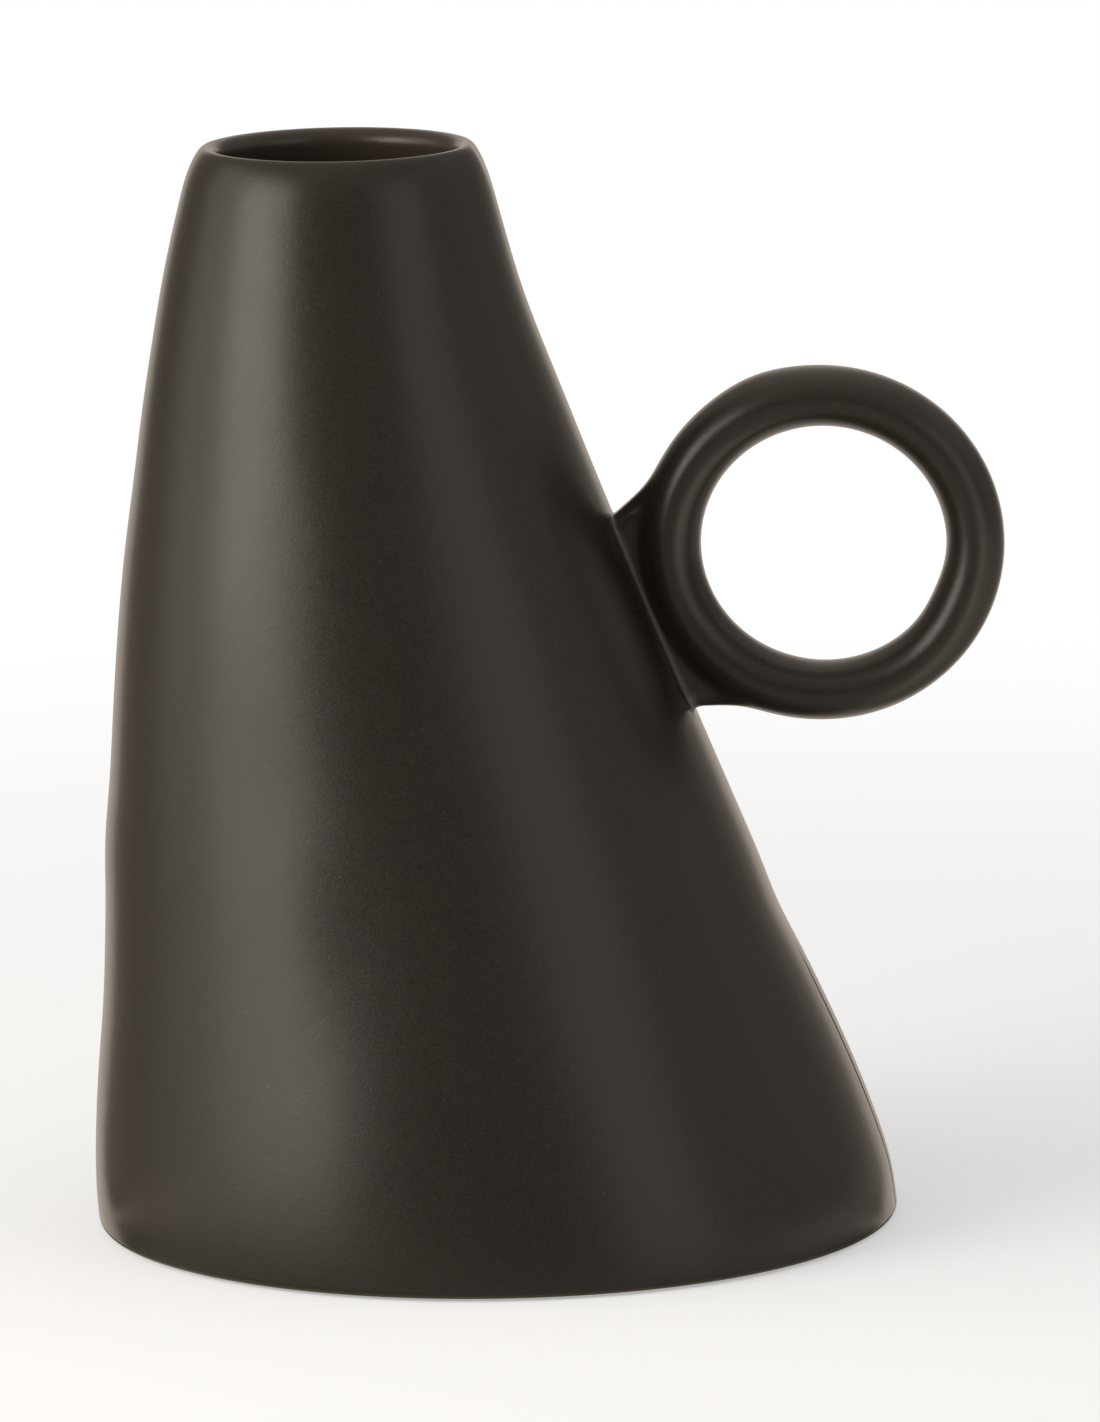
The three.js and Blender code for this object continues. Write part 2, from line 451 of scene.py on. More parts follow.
@dataclass
class Foot:
    """What closes the body below: floor, corner fillet and the bare ring that it stands on."""

    form: BodyForm
    sole_round: float = 0.6 * MM
    sole_steps: int = 5
    ledge_width: float = 5 * MM
    ledge_top: float = 2 * MM
    floor_thickness: float = 4.5 * MM
    corner_coil: float = 5 * MM
    coil_steps: int = 12
    turns: int = 192

    @property
    def inset(self) -> float:
        """Depth from the outer face of what fits inside the wall."""
        return self.form.wall + self.form.slip_gap

    def turned(self, outline: list[Point]) -> Mesh:
        """Turns a section of [radius, height] points and leans it with the vase.

        Args:
            outline: the section's corners and roundings. It is closed unless it starts on the axis.

        Returns:
            The mesh.
        """
        bm = bmesh.new()
        polyline(bm, outline, closed=outline[0][0] > 0)
        spin_full(bm, (0, 0, 1), self.turns)
        mesh = mesh_from(bm)
        points = points_of(mesh)
        points[:, 0] += self.form.centre_x(points[:, 2])
        set_points(mesh, points)
        return mesh

    def ring(self) -> Mesh:
        """The bare ring, with softened edges and the ledge that carries the floor.

        Returns:
            The ring's mesh.
        """
        form, soft, steps = self.form, self.sole_round, self.sole_steps
        middle = form.wall / 2 + form.slip_gap / 2
        edge = form.radius(0, middle)
        ledge = form.radius(0, form.wall) - self.ledge_width
        inner, outer = (ledge + soft, 0.0), (edge - soft, 0.0)
        brink, side = (ledge + soft, self.ledge_top), (ledge, self.ledge_top - soft)
        return self.turned([
            (ledge, soft),
            *quarter_round((ledge, soft), inner, True, steps),
            inner,
            outer,
            *quarter_round(outer, (edge, soft), False, steps),
            (edge, soft),
            (form.radius(form.wall_seat, middle), form.wall_seat),
            (form.radius(form.wall_seat, form.wall), form.wall_seat),
            (form.radius(self.ledge_top, form.wall), self.ledge_top),
            brink,
            *quarter_round(brink, side, False, steps),
            side,
        ])

    def floor(self) -> Mesh:
        """The floor slab, a plain disc.

        Returns:
            The slab's mesh.
        """
        low = self.ledge_top + self.form.slip_gap
        high = low + self.floor_thickness
        return self.turned([
            (0.0, low),
            (self.form.radius(low, self.inset), low),
            (self.form.radius(high, self.inset), high),
            (0.0, high),
        ])

    def fillet(self) -> Mesh:
        """The coil in the inside corner, hollowed as a thumb leaves it.

        Returns:
            The coil's mesh.
        """
        low = self.ledge_top + self.floor_thickness + 2 * self.form.slip_gap
        high = low + self.corner_coil
        corner = (self.form.radius(low, self.inset), low)
        crest = (self.form.radius(high, self.inset), high)
        toe = (corner[0] - self.corner_coil, low)
        return self.turned([toe, corner, crest,
                            *quarter_round(crest, toe, True, self.coil_steps)])


@dataclass(frozen=True)
class BarMark:
    """A place where the ring's bar is a little thicker or out of line."""

    turn: float
    shift: float
    swell: float
    sweep: float

    def share(self, turn: np.ndarray) -> np.ndarray:
        """How much of the mark is felt at an angle round the ring, 1 at its middle."""
        off = turned_from(turn, self.turn)
        return np.exp(-(off * off) / (2 * self.sweep**2))


@dataclass
class RingHandle:
    """The ring of oval bar and the web that joins it to the wall, blended by hand."""

    form: BodyForm
    bar: float = 8.17 * MM
    bar_depth: float = 12.0 * MM
    bar_play: float = 0.12 * MM
    bar_thickest: float = 160.0
    bar_segments: int = 32
    finger_width: float = 33.8 * MM
    finger_height: float = 32.77 * MM
    rise: float = 94.2 * MM
    stand_off: float = 2.28 * MM
    turns: int = 128
    marks: tuple[BarMark, ...] = (
        BarMark(112.0, 0.14 * MM, 0.14 * MM, 10.0),
        BarMark(337.0, -0.17 * MM, 0.17 * MM, 11.0),
        BarMark(250.0, 0.05 * MM, 0.08 * MM, 10.0),
    )
    web_top_rise: float = 3.6 * MM
    web_top_slope: float = 41.8
    web_top_inset: float = 2.0 * MM
    web_low: float = 71.7 * MM
    web_end: float = 5.5 * MM
    web_slant: float = 23.0
    web_neck: float = 2.7 * MM
    web_root: float = 3.5 * MM
    web_flare: float = 1.5 * MM
    web_edge: float = 2.2 * MM
    web_low_turn: float = 255.0
    web_top_turn: float = 150.0
    web_fullness: float = 3.0
    web_segments: int = 48
    web_spans: int = 5
    ring_blend: float = 2.2 * MM
    root_blend: float = 0.8 * MM
    root_blend_low: float = 2.2 * MM
    root_blend_fade: float = 3.0 * MM
    root_sink: float = 1.5 * MM
    root_reach: float = 2.5 * MM
    root_spans: int = 2
    skin_sink: float = 0.001 * MM
    crease_reach: float = 1.1 * MM
    # Width of the band along the crease that gets the painted highlight.
    crease_highlight_width: float = 0.35 * MM
    sharp_angle: float = 38.0
    voxel: float = 0.42 * MM
    passes: int = 3
    settle_rounds: int = 5
    settle_probe: float = 0.02 * MM
    settle_longest: float = 0.4 * MM
    least_steep: float = 0.25

    @property
    def half_width(self) -> float:
        """Half the width of the bar's centre line."""
        return (self.finger_width + self.bar) / 2

    @property
    def half_height(self) -> float:
        """Half the height of the bar's centre line."""
        return (self.finger_height + self.bar) / 2

    @property
    def wall_x(self) -> float:
        """X of the wall's outside at the height of the ring's centre."""
        z = np.float64(self.rise)
        return float(self.form.centre_x(z) + self.form.outer_radius(z))

    @property
    def centre(self) -> Vector:
        """The ring's centre."""
        x = self.wall_x + self.stand_off + self.bar / 2 + self.half_width
        return Vector((x, 0.0, self.rise))

    def ring_distance(self, points: np.ndarray) -> np.ndarray:
        """Distance from the ring's oval bar.

        Args:
            points: places as rows of x, y, z.

        Returns:
            The distance of each, negative inside the bar.
        """
        x = points[:, 0] - self.centre.x
        z = points[:, 2] - self.centre.z
        stretch = np.maximum(np.hypot(x / self.half_width, z / self.half_height), TINY)
        off = np.hypot(x, z) * (1 - 1 / stretch)
        turn = np.degrees(np.arctan2(z, x))
        radius = self.bar / 2 + self.bar_play * np.cos(np.radians(turn - self.bar_thickest))
        for mark in self.marks:
            share = mark.share(turn)
            off = off - mark.shift * share
            radius = radius + mark.swell * share
        return np.hypot(off, points[:, 1] * self.bar / self.bar_depth) - radius

    def web_distance(self, points: np.ndarray) -> np.ndarray:
        """Distance from the web, a slab with rounded edges that flares out towards the wall.

        Args:
            points: places as rows of x, y, z.

        Returns:
            The distance of each, negative inside the web.
        """
        x, y, z = points[:, 0], np.abs(points[:, 1]), points[:, 2]
        off_wall = np.maximum(self.form.distance(points), 0.0)
        root_x = self.wall_x - self.web_top_inset
        slope = math.radians(self.web_top_slope)
        top = (z - self.rise - self.web_top_rise) * math.cos(slope) - (x - root_x) * math.sin(slope)
        low = self.web_low - z
        stretch = np.hypot((x - self.centre.x) / self.half_width,
                           (z - self.centre.z) / self.half_height)
        hole = (1 - stretch) * self.half_width
        slant = math.radians(self.web_slant)
        end = (x - self.centre.x + self.web_end) * math.cos(slant)
        end = end + (z - self.web_low) * math.sin(slant)
        flat = np.maximum(np.maximum(top, low), np.maximum(hole, end))
        half = self.web_neck + (self.web_root - self.web_neck) * np.exp(-off_wall / self.web_flare)
        along = flat + self.web_edge
        across = y - half + self.web_edge
        outside = np.hypot(np.maximum(along, 0), np.maximum(across, 0))
        return outside + np.minimum(np.maximum(along, across), 0) - self.web_edge

    def bare_distance(self, points: np.ndarray) -> np.ndarray:
        """Distance of each point from the ring and the web, without the wall."""
        return smooth_union(self.ring_distance(points), self.web_distance(points),
                            self.ring_blend)

    def off_crease(self, points: np.ndarray) -> np.ndarray:
        """How far each point is from the crease where the handle meets the wall."""
        return np.abs(self.form.distance(points) - self.bare_distance(points))

    def distance(self, points: np.ndarray) -> np.ndarray:
        """Distance from the whole handle, with the fillet round its root.

        Args:
            points: places as rows of x, y, z.

        Returns:
            The distance of each, negative inside the clay.
        """
        wall = self.form.distance(points)
        handle = self.bare_distance(points)
        high = np.maximum(points[:, 2] - self.web_low, 0)
        low_share = np.exp(-high / self.root_blend_fade)
        blend = self.root_blend + (self.root_blend_low - self.root_blend) * low_share
        joined = smooth_union(handle, wall + self.skin_sink, blend)
        kept = np.maximum(handle - self.root_reach, -wall - self.root_sink)
        return np.maximum(joined, kept)

    def root_point(self, across: float, upward: float, proud: float, margin: float) -> Vector:
        """A point over the oval that the web covers on the wall.

        Args:
            across: place from side to side, -1 to 1.
            upward: place from the lower edge to the upper, -1 to 1.
            proud: distance outwards from the wall.
            margin: how much larger than the web the oval is all round.

        Returns:
            The point.
        """
        low = self.web_low - margin
        high = self.rise + self.web_top_rise + margin
        z = low + (high - low) * (upward + 1) / 2
        y = across * (self.web_root + margin)
        reach = math.sqrt((self.form.radius(z) + proud) ** 2 - y * y)
        return Vector((float(self.form.centre_x(np.float64(z))) + reach, y, z))

    def web_point(self, across: float, upward: float, reach: float) -> Vector:
        """A point of the web's block, from inside the wall (reach 0) to the bar's middle (1).

        Args:
            across: place from side to side, -1 to 1.
            upward: place from the lower edge to the upper, -1 to 1.
            reach: place from the wall to the bar.

        Returns:
            The point.
        """
        root = self.root_point(across, upward, -self.root_sink, 0.0)
        turn = math.radians(self.web_low_turn
                            + (self.web_top_turn - self.web_low_turn) * (upward + 1) / 2)
        end = self.centre + Vector((self.half_width * math.cos(turn), across * self.web_neck,
                                    self.half_height * math.sin(turn)))
        point = root.lerp(end, reach)
        point.y = end.y + (root.y - end.y) * (1 - reach) ** 2
        return point

    def add_block(self, bm: BMesh, spans: int,
                  place: Callable[[float, float, float], Vector]) -> None:
        """Adds a drum and moves each of its points to where a function puts it.

        Args:
            bm: the mesh to add to.
            spans: how many pieces its side is cut into.
            place: gives the place of a point from its [across, upward, reach].
        """
        drum = bmesh.new()
        bmesh.ops.create_cone(drum, cap_ends=True, segments=self.web_segments,
                              radius1=1, radius2=1, depth=1)
        sides = [edge for edge in drum.edges if edge.verts[0].co.z * edge.verts[1].co.z < 0]
        bmesh.ops.subdivide_edges(drum, edges=sides, cuts=spans - 1)
        for vert in drum.verts:
            across, upward, reach = vert.co
            full = [math.copysign(abs(value) ** (2 / self.web_fullness), value)
                    for value in (across, upward)]
            vert.co = place(*full, reach + 0.5)
        block = mesh_from(drum)
        bm.from_mesh(block)
        bpy.data.meshes.remove(block)

    def rough(self) -> Mesh:
        """The ring, a block for the web and a pad for its root, pushed together.

        Returns:
            One mesh of three closed shells that pass through each other.
        """
        bm = bmesh.new()
        section = Matrix.Translation((self.half_width, 0, 0))
        bmesh.ops.create_circle(bm, segments=self.bar_segments, radius=self.bar / 2,
                                matrix=section)
        spin_full(bm, (0, 1, 0), self.turns)
        bmesh.ops.scale(bm, verts=bm.verts[:], vec=(
            1, self.bar_depth / self.bar, self.half_height / self.half_width))
        bmesh.ops.translate(bm, vec=self.centre, verts=bm.verts[:])
        self.add_block(bm, self.web_spans, self.web_point)
        self.add_block(bm, self.root_spans, lambda across, upward, reach: self.root_point(
            across, upward, (reach - 1) * self.root_sink, self.root_reach))
        bmesh.ops.recalc_face_normals(bm, faces=bm.faces[:])
        return mesh_from(bm)

    def settled(self, points: np.ndarray) -> np.ndarray:
        """Moves points along the slope of the distance until they lie on the blended surface.

        Args:
            points: places near the surface as rows of x, y, z.

        Returns:
            The places on it.
        """
        probe = self.settle_probe
        for _ in range(self.settle_rounds):
            slope = np.stack([self.distance(points + side) - self.distance(points - side)
                              for side in np.eye(3) * probe], axis=1) / (2 * probe)
            steep = np.maximum((slope * slope).sum(axis=1), self.least_steep)
            step = np.clip(self.distance(points) / steep,
                           -self.settle_longest, self.settle_longest)
            points = points - step[:, None] * slope
        return points

    def build(self) -> Mesh:
        """Joins the rough shells into one and works the surface smooth.

        Returns:
            The handle's mesh.
        """
        rough = add_object("rough_handle", self.rough())
        join = rough.modifiers.new("join", "REMESH")
        join.mode = "VOXEL"
        join.voxel_size = self.voxel
        ready = rough.evaluated_get(bpy.context.evaluated_depsgraph_get())
        mesh = bpy.data.meshes.new_from_object(ready)
        bpy.data.objects.remove(rough)
        for _ in range(self.passes):
            bm = bmesh.new()
            bm.from_mesh(mesh)
            bmesh.ops.smooth_vert(bm, verts=bm.verts[:], factor=0.5,
                                  use_axis_x=True, use_axis_y=True, use_axis_z=True)
            bm.to_mesh(mesh)
            bm.free()
            set_points(mesh, self.settled(points_of(mesh)))
        self.refine_crease(mesh)
        mesh.set_sharp_from_angle(angle=math.radians(self.sharp_angle))
        return mesh

    def refine_crease(self, mesh: Mesh) -> None:
        """Cuts the faces finer along the crease with the wall and marks a band along it that
        carries a painted highlight.

        Args:
            mesh: the finished handle, which is changed.
        """
        near = self.off_crease(points_of(mesh)) < self.crease_reach
        bm = bmesh.new()
        bm.from_mesh(mesh)
        edges = [edge for edge in bm.edges if all(near[vert.index] for vert in edge.verts)]
        bmesh.ops.subdivide_edges(bm, edges=edges, cuts=1, use_grid_fill=True)
        bm.to_mesh(mesh)
        bm.free()
        points = self.settled(points_of(mesh))
        set_points(mesh, points)
        # The glaze paints this band pale: a painted highlight along the crease.
        set_mask(mesh, CREASE_HIGHLIGHT, np.exp(-(self.off_crease(points) / self.crease_highlight_width) ** 2))


# Finishes


class Wiring:
    """A node tree while it is wired up."""

    # Places of the colour sockets on a Mix node.
    MIX_FIRST = 6
    MIX_SECOND = 7
    MIX_RESULT = 2

    def __init__(self, tree: NodeTree) -> None:
        """Starts from an empty tree."""
        self.tree = tree
        tree.nodes.clear()

    def add(self, kind: str, inputs: dict[str | int, object] | None = None,
            **settings: object) -> Node:
        """Adds a node.

        Args:
            kind: the node's type.
            inputs: a constant or another node's socket for each input.
            settings: the node's own settings.

        Returns:
            The node.
        """
        node = self.tree.nodes.new(kind)
        for name, value in settings.items():
            setattr(node, name, value)
        for key, value in (inputs or {}).items():
            socket = node.inputs[key]
            if isinstance(value, NodeSocket):
                self.tree.links.new(value, socket)
            else:
                socket.default_value = (*value, 1.0) if socket.type == "RGBA" else value
        return node

    def get(self, kind: str, output: str | int, inputs: dict[str | int, object] | None = None,
            **settings: object) -> NodeSocket:
        """Adds a node and gives one of its outputs."""
        return self.add(kind, inputs, **settings).outputs[output]

    def math(self, operation: str, *values: object) -> NodeSocket:
        """Works with numbers."""
        return self.get("ShaderNodeMath", 0, dict(enumerate(values)), operation=operation)

    def vector(self, operation: str, *values: object) -> NodeSocket:
        """Works with directions."""
        return self.get("ShaderNodeVectorMath", "Vector", dict(enumerate(values)),
                        operation=operation)

    def scaled(self, vector: NodeSocket, factor: NodeSocket) -> NodeSocket:
        """Makes a vector longer or shorter."""
        return self.get("ShaderNodeVectorMath", "Vector", {0: vector, "Scale": factor},
                        operation="SCALE")

    def length(self, vector: NodeSocket) -> NodeSocket:
        """Measures a vector."""
        return self.get("ShaderNodeVectorMath", "Value", {0: vector}, operation="LENGTH")

    def split(self, vector: NodeSocket) -> tuple[NodeSocket, ...]:
        """Gives a vector's X, Y and Z."""
        return tuple(self.add("ShaderNodeSeparateXYZ", {0: vector}).outputs)

    def vary(self, mask: NodeSocket, low: float, high: float, start: float = 0.0) -> NodeSocket:
        """Stretches a mask from start..1 to low..high."""
        return self.get("ShaderNodeMapRange", "Result", {
            "Value": mask, "From Min": start, "To Min": low, "To Max": high})

    def fade(self, value: NodeSocket, span: tuple[float, float | NodeSocket],
             before: NodeSocket | float = 0.0, after: float = 1.0) -> NodeSocket:
        """Changes softly from before to after while the value passes over the span."""
        return self.get("ShaderNodeMapRange", "Result", {
            "Value": value, "From Min": span[0], "From Max": span[1],
            "To Min": before, "To Max": after}, interpolation_type="SMOOTHSTEP")

    def ramp(self, value: NodeSocket, stops: Stops) -> NodeSocket:
        """Turns a value from 0 to 1 into a brightness.

        Args:
            value: the value.
            stops: pairs of value and brightness in rising order.

        Returns:
            The brightness.
        """
        node = self.add("ShaderNodeValToRGB", {"Fac": value})
        elements = node.color_ramp.elements
        for _ in stops[2:]:
            elements.new(1.0)
        for element, (place, level) in zip(elements, stops):
            element.position = place
            element.color = (level, level, level, 1.0)
        return node.outputs["Color"]

    def mix(self, mask: NodeSocket, first: NodeSocket | Colour,
            second: NodeSocket | Colour) -> NodeSocket:
        """Mixes two colours by a mask."""
        return self.get("ShaderNodeMix", self.MIX_RESULT, {
            0: mask, self.MIX_FIRST: first, self.MIX_SECOND: second}, data_type="RGBA")

    def effect(self, tree: NodeTree, place: NodeSocket, **values: float) -> NodeSocket:
        """Places a shared effect with its own values and gives its result."""
        return self.get("ShaderNodeGroup", 0, {"Vector": place, **values}, node_tree=tree)

    def mix_shader(self, mask: NodeSocket, first: NodeSocket, second: NodeSocket) -> NodeSocket:
        """Mixes two shaders by a mask."""
        return self.get("ShaderNodeMixShader", 0, {0: mask, 1: first, 2: second})

    def glow(self, kind: str, colour: Colour, strength: NodeSocket | float) -> NodeSocket:
        """Gives off light: ShaderNodeEmission on a surface, ShaderNodeBackground all round."""
        return self.get(kind, 0, {"Color": colour, "Strength": strength})

    def surface(self, tone: NodeSocket, rough: NodeSocket | float, height: NodeSocket,
                relief: float) -> None:
        """Ends a material with a plain surface.

        Args:
            tone: its colour.
            rough: its roughness.
            height: its unevenness.
            relief: how high a height of 1 stands.
        """
        bump = self.get("ShaderNodeBump", "Normal", {"Height": height, "Distance": relief})
        shader = self.get("ShaderNodeBsdfPrincipled", 0, {
            "Base Color": tone, "Roughness": rough, "Normal": bump})
        self.add("ShaderNodeOutputMaterial", {"Surface": shader})


def new_material(name: str) -> tuple[Material, Wiring]:
    """Starts a material.

    Args:
        name: its name.

    Returns:
        The material and its empty tree.
    """
    material = bpy.data.materials.new(name)
    material.use_nodes = True
    return material, Wiring(material.node_tree)


class SurfaceEffects:
    """Effects that several finishes share, each a node group that is built once."""

    GRAIN_FINER = 5.0

    def __init__(self) -> None:
        """Builds the groups."""
        self.speckle = self.build_speckle()
        self.mottle = self.build_mottle()
        self.peel = self.build_peel()

    @staticmethod
    def group(name: str, inputs: dict[str, float], output: str) -> tuple[Wiring, Node]:
        """Starts a group with a vector, some numbers and one result.

        Args:
            name: the group's name.
            inputs: its number inputs and their usual values.
            output: the result's name.

        Returns:
            The group's wiring and its input node.
        """
        tree = bpy.data.node_groups.new(name, "ShaderNodeTree")
        tree.interface.new_socket("Vector", in_out="INPUT", socket_type="NodeSocketVector")
        for label, usual in inputs.items():
            socket = tree.interface.new_socket(label, in_out="INPUT",
                                               socket_type="NodeSocketFloat")
            socket.default_value = usual
        tree.interface.new_socket(output, in_out="OUTPUT", socket_type="NodeSocketFloat")
        wiring = Wiring(tree)
        return wiring, wiring.add("NodeGroupInput")

    @staticmethod
    def noise(wiring: Wiring, given: Node, scale: NodeSocket, detail: float,
              rough: float) -> NodeSocket:
        """Adds a noise pattern and gives its value."""
        return wiring.get("ShaderNodeTexNoise", "Fac", {
            "Vector": given.outputs["Vector"], "Scale": scale, "Detail": detail,
            "Roughness": rough})

    def build_speckle(self) -> NodeTree:
        """Small round specks, one to a cell where the cell's own number is below the share.

        Returns:
            A group that gives 1 in a speck and 0 outside.
        """
        wiring, given = self.group("speckle", {"Scale": 900.0, "Share": 0.3, "Width": 0.25},
                                   "Mask")
        cells = wiring.add("ShaderNodeTexVoronoi", {
            "Vector": given.outputs["Vector"], "Scale": given.outputs["Scale"]})
        number = wiring.get("ShaderNodeSeparateColor", 0, {0: cells.outputs["Color"]})
        chosen = wiring.math("LESS_THAN", number, given.outputs["Share"])
        near = wiring.fade(cells.outputs["Distance"], (0.0, given.outputs["Width"]), 1.0, 0.0)
        wiring.add("NodeGroupOutput", {"Mask": wiring.math("MULTIPLY", near, chosen)})
        return wiring.tree

    def build_mottle(self) -> NodeTree:
        """Soft clouds with a finer grain in them.

        Returns:
            A group that gives a mask from 0 to 1.
        """
        wiring, given = self.group("mottle", {"Scale": 120.0, "Contrast": 2.0}, "Mask")
        clouds = self.noise(wiring, given, given.outputs["Scale"], detail=5.0, rough=0.62)
        centred = wiring.math("SUBTRACT", clouds, 0.5)
        spread = wiring.math("MULTIPLY", centred, given.outputs["Contrast"])
        mask = wiring.get("ShaderNodeMath", 0, {0: spread, 1: 0.5}, operation="ADD",
                          use_clamp=True)
        wiring.add("NodeGroupOutput", {"Mask": mask})
        return wiring.tree

    def build_peel(self) -> NodeTree:
        """The faint unevenness of a fired glaze: a long ripple and a fine grain.

        Returns:
            A group that gives a height.
        """
        wiring, given = self.group("peel", {"Scale": 400.0, "Grain": 0.4}, "Height")
        ripple = self.noise(wiring, given, given.outputs["Scale"], detail=2.0, rough=0.5)
        fine_scale = wiring.math("MULTIPLY", given.outputs["Scale"], self.GRAIN_FINER)
        grain = self.noise(wiring, given, fine_scale, detail=2.0, rough=0.6)
        share = wiring.math("MULTIPLY", grain, given.outputs["Grain"])
        wiring.add("NodeGroupOutput", {"Height": wiring.math("ADD", ripple, share)})
        return wiring.tree


@dataclass(frozen=True)
class SatinGlaze:
    """Dark brown-black satin glaze with faint reddish and olive clouds and fine specks."""

    name: str = "satin_glaze"
    dark: Colour = (0.0128, 0.0102, 0.0074)
    warm: Colour = (0.0202, 0.0127, 0.0090)
    olive: Colour = (0.0128, 0.0119, 0.0074)
    olive_share: float = 0.6
    crystal: Colour = (0.0335, 0.0275, 0.0206)
    crystal_share: float = 0.8
    speck: Colour = (0.045, 0.038, 0.030)
    speck_share: float = 0.5
    speck_depth: float = 0.6
    # Pale yellowish band along the bottom edge: a painted reflection of the floor on the hem.
    painted_hem_reflection: Colour = (0.110, 0.095, 0.055)
    painted_hem_reflection_share: float = 0.7
    painted_hem_reflection_heights: Span = (0.4 * MM, 1.1 * MM)
    # Lighter tone over the whole inside face: painted light standing in for light that reaches into
    # the mouth.
    painted_inside_light: Colour = (0.052, 0.040, 0.030)
    # Pale colour along the handle's crease: a painted highlight for the light line there.
    painted_crease_highlight: Colour = (0.130, 0.117, 0.100)
    roughness: float = 0.35
    roughness_play: float = 0.05
    grazing: Span = (0.5, 0.8)
    grazing_roughness: float = 0.2
    grain_play: float = 0.12
    relief: float = 0.016 * MM
    seam_width: float = 1.6 * MM
    seam_rise: float = 0.24 * MM
    seam_end: Span = (32 * MM, 40 * MM)

    def material(self, effects: SurfaceEffects) -> Material:
        """Wires up the finish.

        Args:
            effects: the shared node groups.

        Returns:
            The material.
        """
        material, wiring = new_material(self.name)
        place = wiring.get("ShaderNodeTexCoord", "Object")
        _, y, z = wiring.split(place)
        clouds = wiring.effect(effects.mottle, place, Scale=210.0, Contrast=1.5)
        drift = wiring.effect(effects.mottle, place, Scale=60.0, Contrast=1.4)
        specks = wiring.effect(effects.speckle, place, Scale=700.0, Share=0.12, Width=0.3)
        peel = wiring.effect(effects.peel, place, Scale=420.0, Grain=0.9)
        grain = wiring.effect(effects.mottle, place, Scale=2600.0, Contrast=1.6)
        # The inside mask paints the inside face lighter, as painted light.
        inside = wiring.get("ShaderNodeAttribute", "Fac", attribute_name=INSIDE)
        crease_highlight_mask = wiring.get("ShaderNodeAttribute", "Fac", attribute_name=CREASE_HIGHLIGHT)
        # Mask for the painted reflection along the bottom edge: 1 below the band and 0 above it.
        edge = wiring.fade(z, self.painted_hem_reflection_heights, 1.0, 0.0)
        tone = wiring.mix(clouds, self.dark, self.warm)
        for mask, share, colour in (
                (drift, self.olive_share, self.olive),
                (grain, self.crystal_share, self.crystal),
                (specks, self.speck_share, self.speck),
                (inside, 1.0, self.painted_inside_light),
                (crease_highlight_mask, 1.0, self.painted_crease_highlight),
                (edge, self.painted_hem_reflection_share, self.painted_hem_reflection)):
            tone = wiring.mix(wiring.vary(mask, 0.0, share), tone, colour)
        low = self.roughness - (self.roughness_play + self.grain_play) / 2
        rough = wiring.math("MULTIPLY_ADD", grain, self.grain_play,
                            wiring.vary(clouds, low, low + self.roughness_play))
        facing = wiring.get("ShaderNodeLayerWeight", "Facing", {"Blend": 0.5})
        rough = wiring.fade(facing, self.grazing, rough, self.grazing_roughness)
        off_seam = wiring.math("ABSOLUTE", y)
        seam = wiring.math("MULTIPLY", wiring.fade(off_seam, (0.0, self.seam_width), 1.0, 0.0),
                           wiring.fade(z, self.seam_end, 1.0, 0.0))
        height = wiring.math("MULTIPLY_ADD", specks, -self.speck_depth, peel)
        height = wiring.math("MULTIPLY_ADD", seam, self.seam_rise / self.relief, height)
        wiring.surface(tone, rough, height, self.relief)
        return material


@dataclass(frozen=True)
class BareClay:
    """Bare fired stoneware: matt, sandy, with darker grog."""

    name: str = "bare_stoneware"
    pale: Colour = (0.215, 0.170, 0.125)
    deep: Colour = (0.165, 0.128, 0.094)
    grog: Colour = (0.060, 0.045, 0.035)
    roughness: float = 0.86
    relief: float = 0.05 * MM

    def material(self, effects: SurfaceEffects) -> Material:
        """Wires up the finish.

        Args:
            effects: the shared node groups.

        Returns:
            The material.
        """
        material, wiring = new_material(self.name)
        place = wiring.get("ShaderNodeTexCoord", "Object")
        tone = wiring.mix(wiring.effect(effects.mottle, place), self.deep, self.pale)
        tone = wiring.mix(wiring.effect(effects.speckle, place), tone, self.grog)
        wiring.surface(tone, self.roughness, wiring.effect(effects.peel, place), self.relief)
        return material


# Studio


@dataclass(frozen=True)
class Softbox:
    """A flat soft lamp that faces the vase."""

    name: str
    bearing: float
    elevation: float
    distance: float
    width: float
    height: float
    power: float
    colour: Colour = (1.0, 0.92, 0.83)

    def light(self, target: Vector) -> None:
        """Hangs the lamp.

        Args:
            target: what it faces.
        """
        turn, tilt = math.radians(self.bearing), math.radians(self.elevation)
        away = Vector((math.sin(turn) * math.cos(tilt), -math.cos(turn) * math.cos(tilt),
                       math.sin(tilt)))
        lamp = bpy.data.lights.new(self.name, "AREA")
        lamp.shape = "RECTANGLE"
        lamp.size = self.width
        lamp.size_y = self.height
        lamp.energy = self.power
        lamp.color = self.colour
        holder = add_object(self.name, lamp)
        holder.location = target + away * self.distance
        holder.rotation_euler = away.to_track_quat("Z", "Y").to_euler()


